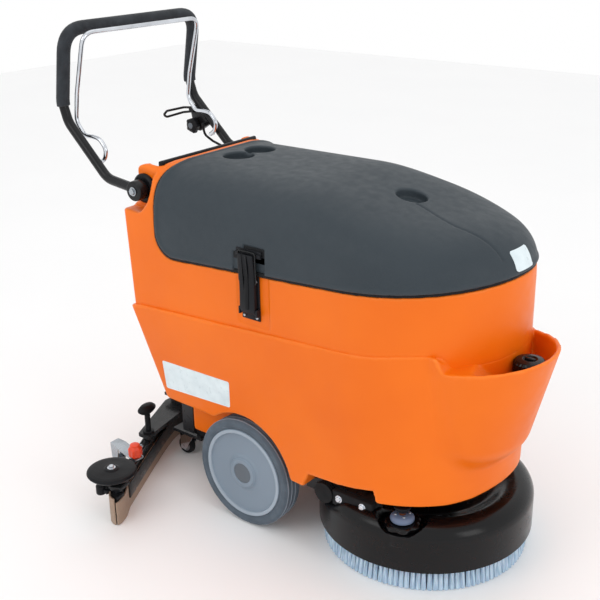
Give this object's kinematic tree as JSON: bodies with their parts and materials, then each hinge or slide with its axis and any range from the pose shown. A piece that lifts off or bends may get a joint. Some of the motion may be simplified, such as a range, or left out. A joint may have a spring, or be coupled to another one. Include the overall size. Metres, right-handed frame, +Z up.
{
  "type": "walk-behind floor scrubber",
  "caption": "Battery floor scrubber pushed from behind: round brush deck, tank body under a latched lid, main wheels, castors, V squeegee with bumper rollers, and a loop handle with a bail.",
  "frame": {"origin": "on the floor under the middle of the machine's outer box", "axes": "+X forward to the brush end, +Y to the machine's left, +Z up from the floor"},
  "size_m": [1.183, 0.874, 1.0628],
  "materials": {
    "orange_tank": "moulded plastic with a light orange-peel texture",
    "slate_lid": "satin moulded plastic",
    "black_plastic": "gloss moulded plastic",
    "black_paint": "powder-coated steel",
    "chrome_steel": "polished plating",
    "bare_steel": "turned steel",
    "foam_rubber": "closed-cell foam sleeve",
    "tyre_rubber": "grey non-marking rubber with shallow grooves",
    "grey_plastic": "satin moulded plastic",
    "bristle_nylon": "dense nylon bristle",
    "blade_rubber": "tan gum rubber",
    "red_plastic": "gloss moulded plastic",
    "black_rubber": "moulded rubber",
    "battery_case": "moulded polypropylene",
    "blue_grey_plastic": "satin moulded plastic"
  },
  "bodies": {
    "chassis": {"chassis_frame": "black_paint", "solution_tank": "orange_tank", "recovery_tank": "orange_tank", "lid_hinge": "black_plastic", "latch_base": "black_plastic", "dashboard_panel": "black_plastic", "battery_left": "battery_case", "battery_right": "battery_case", "vacuum_motor": "black_plastic", "float_cage": "grey_plastic", "axle": "bare_steel", "handle_seat_left": "black_plastic", "handle_seat_right": "black_plastic", "handle_bolt_left": "chrome_steel", "handle_bolt_right": "chrome_steel"},
    "lid": {"lid": "slate_lid", "lid_catch": "black_plastic", "hinge_pin": "bare_steel", "lid_gasket": "black_rubber"},
    "latch_lever": {"latch_lever": "black_plastic"},
    "latch_wire": {"latch_wire": "chrome_steel"},
    "handle": {"handle_tube": "black_paint", "foam_grip": "foam_rubber", "lift_cable": "black_rubber"},
    "bail": {"bail": "chrome_steel"},
    "lift_lever": {"lift_lever": "black_paint"},
    "star_knob": {"star_knob": "black_plastic"},
    "wheel_left": {"tyre_left": "tyre_rubber", "wheel_disc_left": "grey_plastic"},
    "wheel_right": {"tyre_right": "tyre_rubber", "wheel_disc_right": "grey_plastic"},
    "castor_fork_left": {"castor_fork_left": "chrome_steel"},
    "castor_fork_right": {"castor_fork_right": "chrome_steel"},
    "castor_wheel_left": {"castor_wheel_left": "tyre_rubber"},
    "castor_wheel_right": {"castor_wheel_right": "tyre_rubber"},
    "squeegee_arm": {"squeegee_arm": "black_paint"},
    "squeegee": {"squeegee_yoke": "black_paint", "squeegee_body": "black_plastic", "rear_blade": "blade_rubber", "front_blade": "blade_rubber", "squeegee_fork_left": "chrome_steel", "squeegee_fork_right": "chrome_steel"},
    "bumper_roller_left": {"bumper_roller_left": "black_plastic"},
    "bumper_roller_right": {"bumper_roller_right": "black_plastic"},
    "squeegee_wheel_left": {"squeegee_wheel_left": "grey_plastic"},
    "squeegee_wheel_right": {"squeegee_wheel_right": "grey_plastic"},
    "height_knob_left": {"height_knob_left": "red_plastic"},
    "height_knob_right": {"height_knob_right": "red_plastic"},
    "clamp_knob_left": {"clamp_knob_left": "black_plastic"},
    "clamp_knob_right": {"clamp_knob_right": "black_plastic"},
    "deck": {"deck_cover": "black_plastic", "deck_arm": "black_paint", "brush_motor": "bare_steel", "deck_bush": "blue_grey_plastic"},
    "brush": {"brush_block": "grey_plastic", "bristles": "bristle_nylon"},
    "deck_handwheel": {"deck_handwheel": "black_plastic"},
    "fill_cap": {"fill_cap": "black_plastic"},
    "brush_switch": {"brush_switch": "grey_plastic"},
    "vacuum_switch": {"vacuum_switch": "red_plastic"}
  },
  "joints": [
    {"name": "lid_hinge_turn", "type": "hinge", "parent": "chassis", "child": "lid", "pos_m": [0.01055, 0.2313, 0.621], "axis": [-1, 0, 0], "range_deg": [0, 80]},
    {"name": "latch_lever_turn", "type": "hinge", "parent": "chassis", "child": "latch_lever", "pos_m": [0.01055, -0.2262, 0.523], "axis": [1, 0, 0], "range_deg": [0, 100]},
    {"name": "latch_wire_turn", "type": "hinge", "parent": "latch_lever", "child": "latch_wire", "pos_m": [0.01055, -0.2277, 0.585], "axis": [1, 0, 0], "range_deg": [0, 40]},
    {"name": "handle_fold", "type": "hinge", "parent": "chassis", "child": "handle", "pos_m": [-0.32445, 0, 0.719], "axis": [0, 1, 0], "range_deg": [0, 90]},
    {"name": "bail_squeeze", "type": "hinge", "parent": "handle", "child": "bail", "pos_m": [-0.46445, 0, 0.757], "axis": [0, -1, 0], "range_deg": [0, 3], "stiffness_Nm_per_rad": 20, "springref_deg": -2.86},
    {"name": "squeegee_lift", "type": "hinge", "parent": "chassis", "child": "squeegee_arm", "pos_m": [-0.26945, 0, 0.152], "axis": [0, 1, 0], "range_deg": [0, 12]},
    {"name": "lift_lever_turn", "type": "hinge", "parent": "handle", "child": "lift_lever", "pos_m": [-0.53545, 0.196, 0.81], "axis": [0, 1, 0], "range_deg": [0, 30]},
    {"name": "star_knob_turn", "type": "hinge", "parent": "handle", "child": "star_knob", "pos_m": [-0.52645, 0.196, 0.772], "axis": [0, 1, 0], "continuous": true},
    {"name": "wheel_left_roll", "type": "hinge", "parent": "chassis", "child": "wheel_left", "pos_m": [-0.02945, 0.2, 0.127], "axis": [0, 1, 0], "continuous": true},
    {"name": "castor_left_swivel", "type": "hinge", "parent": "chassis", "child": "castor_fork_left", "pos_m": [-0.32745, 0.075, 0.084], "axis": [0, 0, 1], "continuous": true},
    {"name": "castor_left_roll", "type": "hinge", "parent": "castor_fork_left", "child": "castor_wheel_left", "pos_m": [-0.35345, 0.075, 0.023], "axis": [0, 1, 0], "continuous": true},
    {"name": "wheel_right_roll", "type": "hinge", "parent": "chassis", "child": "wheel_right", "pos_m": [-0.02945, -0.2, 0.127], "axis": [0, 1, 0], "continuous": true},
    {"name": "castor_right_swivel", "type": "hinge", "parent": "chassis", "child": "castor_fork_right", "pos_m": [-0.32745, -0.075, 0.084], "axis": [0, 0, 1], "continuous": true},
    {"name": "castor_right_roll", "type": "hinge", "parent": "castor_fork_right", "child": "castor_wheel_right", "pos_m": [-0.35345, -0.075, 0.023], "axis": [0, 1, 0], "continuous": true},
    {"name": "squeegee_swing", "type": "hinge", "parent": "squeegee_arm", "child": "squeegee", "pos_m": [-0.43445, 0, 0.11], "axis": [0, 0, 1], "range_deg": [-10, 10]},
    {"name": "bumper_left_turn", "type": "hinge", "parent": "squeegee", "child": "bumper_roller_left", "pos_m": [-0.28345, 0.38, 0.115], "axis": [0, 0, 1], "continuous": true},
    {"name": "squeegee_wheel_left_roll", "type": "hinge", "parent": "squeegee", "child": "squeegee_wheel_left", "pos_m": [-0.42445, 0.24, 0.022], "axis": [0, 1, 0], "continuous": true},
    {"name": "height_knob_left_turn", "type": "hinge", "parent": "squeegee", "child": "height_knob_left", "pos_m": [-0.33645, 0.262, 0.095], "axis": [0, 0, 1], "continuous": true},
    {"name": "clamp_knob_left_turn", "type": "hinge", "parent": "squeegee", "child": "clamp_knob_left", "pos_m": [-0.37945, 0.178, 0.15], "axis": [0, 0, 1], "continuous": true},
    {"name": "bumper_right_turn", "type": "hinge", "parent": "squeegee", "child": "bumper_roller_right", "pos_m": [-0.28345, -0.38, 0.115], "axis": [0, 0, 1], "continuous": true},
    {"name": "squeegee_wheel_right_roll", "type": "hinge", "parent": "squeegee", "child": "squeegee_wheel_right", "pos_m": [-0.42445, -0.24, 0.022], "axis": [0, 1, 0], "continuous": true},
    {"name": "height_knob_right_turn", "type": "hinge", "parent": "squeegee", "child": "height_knob_right", "pos_m": [-0.33645, -0.262, 0.095], "axis": [0, 0, 1], "continuous": true},
    {"name": "clamp_knob_right_turn", "type": "hinge", "parent": "squeegee", "child": "clamp_knob_right", "pos_m": [-0.37945, -0.178, 0.15], "axis": [0, 0, 1], "continuous": true},
    {"name": "deck_lift", "type": "hinge", "parent": "chassis", "child": "deck", "pos_m": [0.13555, 0, 0.143], "axis": [0, -1, 0], "range_deg": [0, 2]},
    {"name": "brush_spin", "type": "hinge", "parent": "deck", "child": "brush", "pos_m": [0.30355, 0, 0.07], "axis": [0, 0, 1], "continuous": true},
    {"name": "deck_handwheel_turn", "type": "hinge", "parent": "deck", "child": "deck_handwheel", "pos_m": [0.36255, -0.182, 0.135], "axis": [0, 0, 1], "continuous": true},
    {"name": "fill_cap_turn", "type": "hinge", "parent": "chassis", "child": "fill_cap", "pos_m": [0.53655, -0.02, 0.452], "axis": [0, 0, 1], "range_deg": [0, 90]},
    {"name": "brush_switch_rock", "type": "hinge", "parent": "chassis", "child": "brush_switch", "pos_m": [-0.31345, 0.042, 0.74], "axis": [0, 1, 0], "range_deg": [0, 8]},
    {"name": "vacuum_switch_rock", "type": "hinge", "parent": "chassis", "child": "vacuum_switch", "pos_m": [-0.31345, 0.084, 0.74], "axis": [0, 1, 0], "range_deg": [0, 8]}
  ],
  "couplings": [
    {"joint": "lift_lever_turn", "follows": "squeegee_lift", "ratio": 2.5}
  ]
}
